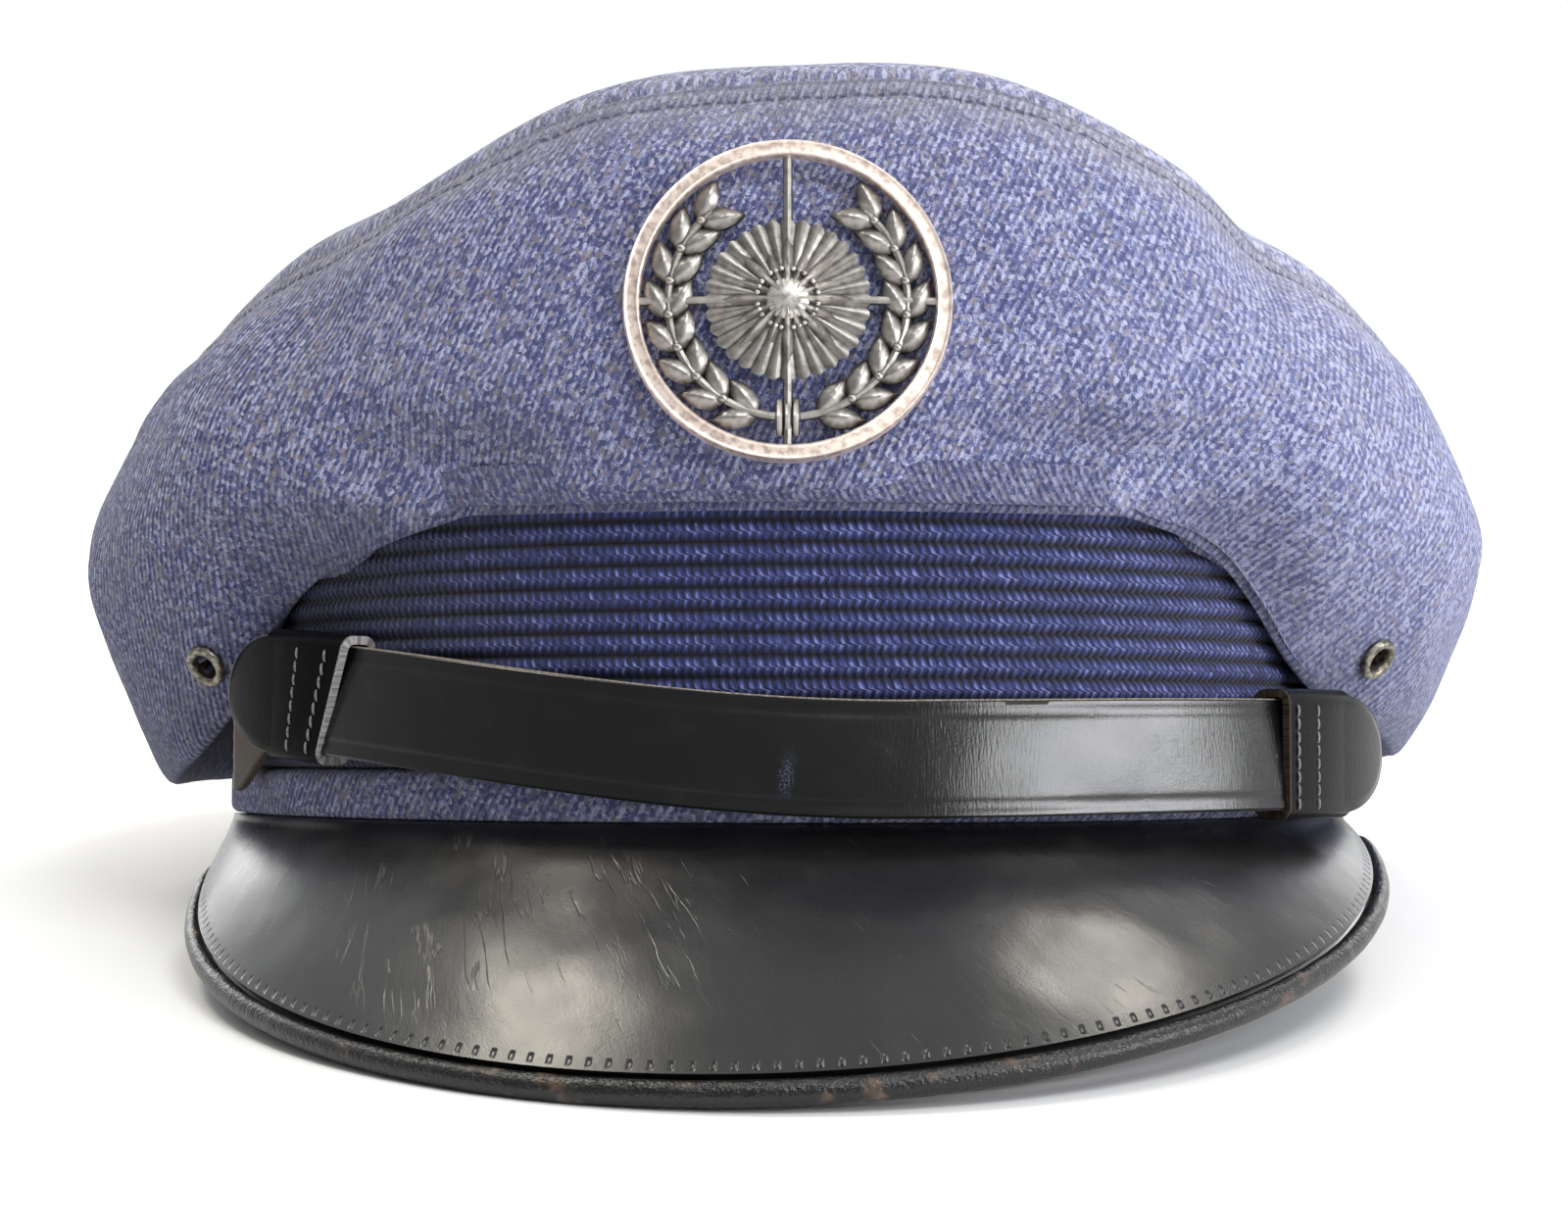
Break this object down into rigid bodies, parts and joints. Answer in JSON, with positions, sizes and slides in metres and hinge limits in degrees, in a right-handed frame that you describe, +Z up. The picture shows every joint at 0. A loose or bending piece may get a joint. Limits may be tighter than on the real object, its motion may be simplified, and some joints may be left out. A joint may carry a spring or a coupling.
{
  "type": "military service cap",
  "caption": "Peaked service cap with a soft blue cloth crown, ribbed braid band, polished leather peak, front strap and a pierced round metal badge.",
  "frame": {"origin": "middle of the cap's footprint on the surface that it rests on", "axes": "+Z up, -Y towards the peak's lip, +X to the right of someone who looks at the badge"},
  "size_m": [0.2298, 0.271, 0.13],
  "materials": {
    "serge": "wool twill",
    "braid": "ribbed braid",
    "leather": "polished, cracked",
    "silver": "oxidised silver plate",
    "brass": "dull"
  },
  "bodies": {
    "root": {"badge": "silver", "braid_band": "braid", "crown_quarters": "serge", "crown_top": "serge", "eyelet_left": "brass", "eyelet_right": "brass", "head_band": "serge", "peak": "leather", "peak_bead": "leather", "side_button_left": "silver", "side_button_right": "silver", "strap_front": "leather", "strap_loop_left": "leather", "strap_loop_right": "leather", "strap_under": "leather"}
  },
  "joints": []
}
